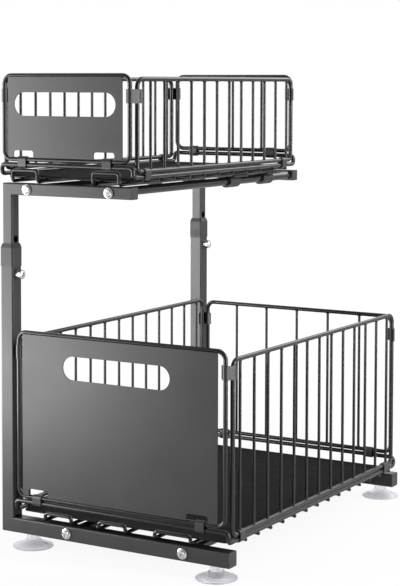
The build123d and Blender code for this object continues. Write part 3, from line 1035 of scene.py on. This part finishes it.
def lock_screw(screws, reach, height):
    """A domed screw on a washer, the seat of the washer at the origin."""
    # The small steps of the outline are rounded edges.
    washer, head, shank = screws.lock_washer / 2, screws.lock_head / 2, screws.shank / 2
    rim = screws.lock_washer_height
    profile = [(0, -reach), (shank, -reach), (shank, 0)]
    profile += [(washer * 0.97, 0), (washer, 0.15 * MM)]
    profile += [(washer, rim - 0.3 * MM), (washer * 0.95, rim)]
    profile += [(head * 0.97, rim), (head, rim + 0.2 * MM), (head, height - screws.lock_dome)]
    profile += arc(profile[-1], (0, height), head * 0.2, 14)
    profile[-1] = (0, height)
    return turned("lock_screw", profile)


class BASKET_OT_screws(bpy.types.Operator):
    """Rail screws and the lock screws of the height adjustment"""

    bl_idname = "basket.screws"
    bl_label = "Screws"

    def execute(self, context):
        screws = context.scene.basket_screws
        tree = set_tree()
        chrome = material_of("screw_chrome")
        part = hidden_part(cross_recessed(screws), chrome)
        feeds = {"Part": part, "Turn": math.pi / 2, "Seed": screws.seed, "Material": chrome}
        for basket in BASKETS:
            name = basket["name"]
            node = f"{name}_rail_screws"
            low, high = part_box(node)
            places, facings = [], []
            for side in SIDES:
                x, _, z = middle(f"{name}_{side}_rail")
                places += [(x, low.y + screws.head_height, z), (x, high.y - screws.head_height, z)]
                facings += [(0, -1, 0), (0, 1, 0)]
            mesh = points_mesh(node, places, facings)
            grow(f"{name}_pan_screws", mesh, tree, feeds, basket["stand"], [node])
        bpy.data.objects.remove(part)

        node = "height_lock_screws"
        low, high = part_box(node)
        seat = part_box("front_base_frame")[0].x + screws.post
        part = hidden_part(lock_screw(screws, seat - low.x, high.x - seat), chrome)
        head = screws.lock_head / 2
        places = [(seat, y, (low.z + high.z) / 2) for y in (low.y + head, high.y - head)]
        mesh = points_mesh(node, places, [(1, 0, 0)] * 2)
        grow("lock_screws", mesh, tree, feeds | {"Part": part}, "frame", [node])
        bpy.data.objects.remove(part)
        return {"FINISHED"}


def cup_shape(cups, rim, tube_foot, top):
    """A suction cup with its stud, the rim on the floor and the axis at the origin."""
    neck, shoulder = cups.neck / 2, cups.shoulder / 2
    stud, stud_head = cups.stud / 2, cups.stud_head / 2
    seat = tube_foot + cups.tube_wall
    round_over, slope = cups.round_over, 1.4 * MM
    # How far each arc stands out from its chord.
    shoulder_swell, dome_dish, hollow_vault = 0.5 * MM, -0.66 * MM, -0.6 * MM
    profile = [(0, top), (stud_head - slope, top), (stud_head, seat), (stud, seat)]
    profile += [(stud, tube_foot), (neck - round_over, tube_foot)]
    profile += [(neck, tube_foot - round_over), (neck, cups.neck_foot)]
    profile += arc(profile[-1], (shoulder, cups.shoulder_height), shoulder_swell, 6)
    profile += arc(profile[-1], (rim, cups.lip), dome_dish, 12)
    profile += [(rim, round_over), (rim - 0.2 * MM, 0.0), (rim - cups.lip, 0.0)]
    profile += arc(profile[-1], (0, cups.hollow), hollow_vault, 10)
    profile[-1] = (0, cups.hollow)
    return turned("cup", profile, 64)


class BASKET_OT_cups(bpy.types.Operator):
    """Suction cups"""

    bl_idname = "basket.cups"
    bl_label = "Suction cups"

    def execute(self, context):
        nodes = [f"suction_cup_{end}_{side}" for end in ENDS for side in SIDES]
        low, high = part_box(nodes[0])
        tube_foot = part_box("front_base_frame")[0].z
        vinyl = material_of("cup_vinyl")
        cup = cup_shape(context.scene.basket_cups, (high.x - low.x) / 2, tube_foot, high.z)
        part = hidden_part(cup, vinyl)
        places = [(*middle(node).xy, 0) for node in nodes]
        mesh = points_mesh("cups", places, [(0, 0, 1)] * len(nodes))
        feeds = {"Part": part, "Turn": 0.0, "Seed": 0, "Material": vinyl}
        grow("suction_cups", mesh, set_tree(), feeds, "frame", nodes)
        bpy.data.objects.remove(part)
        return {"FINISHED"}


class BASKET_OT_mouldings(bpy.types.Operator):
    """Finish of the tubes, straps, clips, caps, collars, shoes and mats"""

    bl_idname = "basket.mouldings"
    bl_label = "Tubes, sheet parts, mouldings and mats"

    def execute(self, context):
        for row in frame["record"]["subparts"]:
            mesh = NODES[row["node"]].data
            mesh.materials.clear()
            mesh.materials.append(material_of(row["material_slot"]))
        return {"FINISHED"}


class BASKET_OT_studio(bpy.types.Operator):
    """Floor, world, lamps and camera"""

    bl_idname = "basket.studio"
    bl_label = "Studio"

    def execute(self, context):
        studio = context.scene.basket_studio
        set_camera()
        set_floor(studio)
        set_world(studio)
        set_lamps(studio)
        context.scene.view_settings.view_transform = "Standard"
        return {"FINISHED"}


# ------------------------------------------------------------------ studio
PHOTO_HEIGHT = 586  # pixels
SENSOR = 36.0  # mm, along the height of the photo


def set_camera():
    """The camera of the photo, fitted to the edges of the stand and the baskets."""
    focal = 1664.65  # pixels
    axis_row = 182.39  # pixels from the photo's top down to the optical axis
    turn, pitch, roll = 0.5371, 0.06, 0.0021
    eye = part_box("front_base_frame")[0] + Vector((1.0303871, -1.3366756, 0.456814))

    ahead = Vector((-math.sin(turn), math.cos(turn), 0))
    up = Vector((0, 0, 1))
    right = ahead.cross(up)
    ahead, up = (
        ahead * math.cos(pitch) - up * math.sin(pitch),
        up * math.cos(pitch) + ahead * math.sin(pitch),
    )
    right, up = (
        right * math.cos(roll) + up * math.sin(roll),
        up * math.cos(roll) - right * math.sin(roll),
    )
    data = bpy.data.cameras.new("camera")
    camera = new_object("camera", data)
    facing = Matrix((right, up, -ahead)).transposed().to_4x4()
    camera.matrix_world = Matrix.Translation(eye) @ facing
    data.sensor_width = SENSOR
    data.lens = focal / PHOTO_HEIGHT * SENSOR
    data.shift_y = axis_row / PHOTO_HEIGHT - 0.5
    data.clip_start, data.clip_end = 0.05, 30.0
    bpy.context.scene.camera = camera


def seen_rays(tree, straight, mirrored):
    """How much rays show of the plain backdrop: camera and transmitted ones, and glossy ones."""
    rays = add(tree, "ShaderNodeLightPath")
    clear = reckon(tree, "MAXIMUM", out(rays, "Is Camera Ray"), out(rays, "Is Transmission Ray"))
    seen = reckon(tree, "MULTIPLY", clear, straight)
    glossy = reckon(tree, "MULTIPLY", out(rays, "Is Glossy Ray"), mirrored)
    return reckon(tree, "MAXIMUM", seen, glossy)


def eased(tree, value, start, end, low, high):
    """A value's smooth way from low to high as it goes from start to end."""
    feeds = {"Value": value, "From Min": start, "From Max": end, "To Min": low, "To Max": high}
    return out(add(tree, "ShaderNodeMapRange", feeds, interpolation_type="SMOOTHSTEP"))


def set_floor(studio):
    """Pale floor that keeps the object's shadow and turns white away from it."""
    material, tree, shader, place = new_material(
        "studio_floor", Base_Color=(0.86, 0.86, 0.86, 1), Roughness=0.9
    )
    near, far = 0.35, 1.2  # metres from the object's middle between which the shadow fades
    plain_near, clean_white = 0.88, 1.04
    away = add(tree, "ShaderNodeVectorMath", {0: place}, operation="LENGTH")
    plain = eased(tree, out(away, "Value"), near, far, plain_near, 1.0)
    clean = add(tree, "ShaderNodeEmission", {"Strength": studio.white * clean_white})
    seen = seen_rays(tree, plain, studio.floor_gloss)
    mix = add(tree, "ShaderNodeMixShader", {0: seen, 1: out(shader), 2: out(clean)})
    tree.links.new(out(mix), tree.nodes["Material Output"].inputs["Surface"])
    mesh = bpy.data.meshes.new("studio_floor")
    half = 6.0
    corners = [(-half, -half, 0), (half, -half, 0), (half, half, 0), (-half, half, 0)]
    mesh.from_pydata(corners, [], [(0, 1, 2, 3)])
    mesh.materials.append(material)
    new_object("studio_floor", mesh)


def set_world(studio):
    """White backdrop behind the object, a dimmer room in front of it, and a soft fill."""
    world = bpy.data.worlds.new("studio_world")
    bpy.context.scene.world = world
    world.use_nodes = True
    tree = world.node_tree
    fill = tree.nodes["Background"]
    fill.inputs["Color"].default_value = (1, 1, 1, 1)
    fill.inputs["Strength"].default_value = studio.fill
    direction = out(add(tree, "ShaderNodeTexCoord"), "Generated")
    towards_backdrop = (-0.51, 0.86, 0)
    room_ends, backdrop_starts = -0.35, 0.1  # cosines of the angle to that direction
    behind = add(
        tree, "ShaderNodeVectorMath", {0: direction, 1: towards_backdrop}, operation="DOT_PRODUCT"
    )
    facing = out(behind, "Value")
    backdrop = eased(tree, facing, room_ends, backdrop_starts, studio.room, 1.0)
    shown = add(
        tree, "ShaderNodeBackground", {"Color": (1, 1, 1, 1), "Strength": studio.white}
    )
    seen = seen_rays(tree, 1.0, backdrop)
    mix = add(tree, "ShaderNodeMixShader", {0: seen, 1: out(fill), 2: out(shown)})
    tree.links.new(out(mix), tree.nodes["World Output"].inputs["Surface"])


# Name, place, size and power of each lamp, in metres and watts.
LAMPS = (
    ("lamp_key", (-0.82, -0.48, 0.3), (0.7, 0.6), 3.4),
    ("lamp_far", (-1.12, -1.1, 0.36), (0.4, 0.6), 10.0),
    ("lamp_low", (-0.55, -0.5, 0.08), (0.6, 0.14), 2.0),
    ("lamp_right_strip", (1.2, 0.0, 0.45), (0.16, 1.1), 16.0),
    ("lamp_behind", (0.6, 1.3, 1.2), (1.5, 0.8), 10.0),
)


def set_lamps(studio):
    """Soft lamps at the left, a strip at the right, and a soft lamp above and behind."""
    aim = Vector((0, 0, 0.24))
    for name, spot, size, power in LAMPS:
        data = bpy.data.lights.new(name, "AREA")
        data.shape = "RECTANGLE"
        data.size, data.size_y = size
        data.energy = power * studio.lamp
        lamp = new_object(name, data)
        lamp.location = spot
        lamp.rotation_euler = (aim - lamp.location).to_track_quat("-Z", "Y").to_euler()
        lamp.visible_camera = False


class BASKET_PT_panel(bpy.types.Panel):
    """Pieces and finishes of the basket"""

    bl_label = "Basket"
    bl_idname = "BASKET_PT_panel"
    bl_space_type = "VIEW_3D"
    bl_region_type = "UI"
    bl_category = "Basket"

    def draw(self, context):
        for step in STEPS:
            self.layout.operator(step.bl_idname)
        for name in SETTINGS:
            group = getattr(context.scene, name)
            for label in group.bl_rna.properties.keys():
                if label not in ("rna_type", "name"):
                    self.layout.prop(group, label)


SETTINGS = {
    "basket_wires": BasketWires,
    "basket_plate": BasketPlate,
    "basket_screws": BasketScrews,
    "basket_cups": BasketCups,
    "basket_finish": BasketFinish,
    "basket_studio": BasketStudio,
}
STEPS = (
    BASKET_OT_studio,
    BASKET_OT_mouldings,
    BASKET_OT_floors,
    BASKET_OT_panels,
    BASKET_OT_plates,
    BASKET_OT_rails,
    BASKET_OT_screws,
    BASKET_OT_cups,
)


def register():
    """Register the classes and hang the settings on the scene."""
    for name, group in SETTINGS.items():
        bpy.utils.register_class(group)
        setattr(bpy.types.Scene, name, bpy.props.PointerProperty(type=group))
    for step in (*STEPS, BASKET_PT_panel):
        bpy.utils.register_class(step)


def unregister():
    """Take the settings and classes away again."""
    for step in (BASKET_PT_panel, *reversed(STEPS)):
        bpy.utils.unregister_class(step)
    for name, group in reversed(SETTINGS.items()):
        delattr(bpy.types.Scene, name)
        bpy.utils.unregister_class(group)


def main():
    register()
    for step in STEPS:
        group, name = step.bl_idname.split(".")
        getattr(getattr(bpy.ops, group), name)()


if __name__ == "__main__":
    main()
